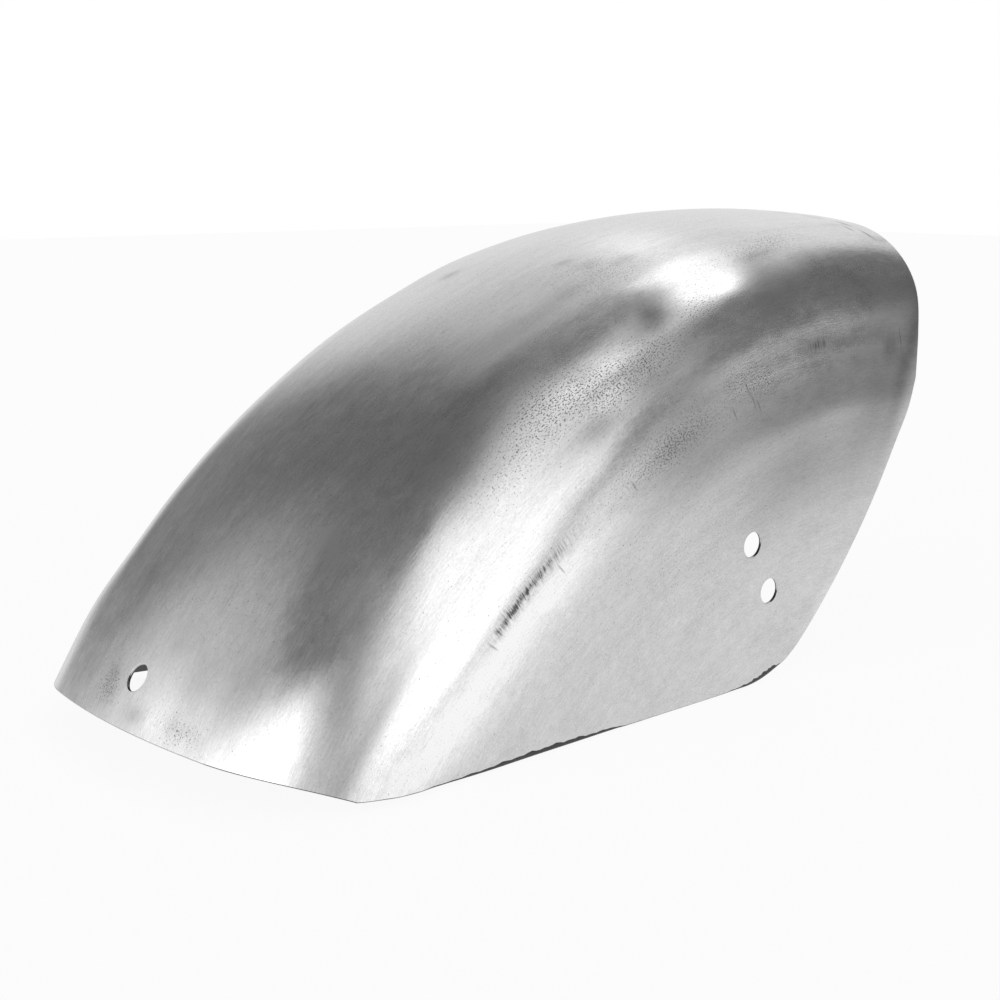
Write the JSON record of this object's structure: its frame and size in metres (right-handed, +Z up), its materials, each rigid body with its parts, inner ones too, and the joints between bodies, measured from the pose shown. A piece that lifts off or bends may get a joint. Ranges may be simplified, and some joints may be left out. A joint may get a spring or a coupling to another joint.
{
  "type": "motorcycle rear fender",
  "caption": "Short rear mudguard for a motorcycle: a pressed steel sheet that follows the wheel, with rounded shoulders, side panels and bolt holes.",
  "frame": {"origin": "under the middle of the fender's box, on the plane that the straight bottom edges of the side panels stand on", "axes": "+X to the rear end of the fender, +Y to its left side panel, +Z up; the wheel's axis runs along Y"},
  "size_m": [0.3406, 0.178, 0.1857],
  "materials": {
    "raw_steel": "bare steel, brushed along the crown, with fine scratches and small dark pits"
  },
  "bodies": {
    "root": {"fender": "raw_steel"}
  },
  "joints": []
}
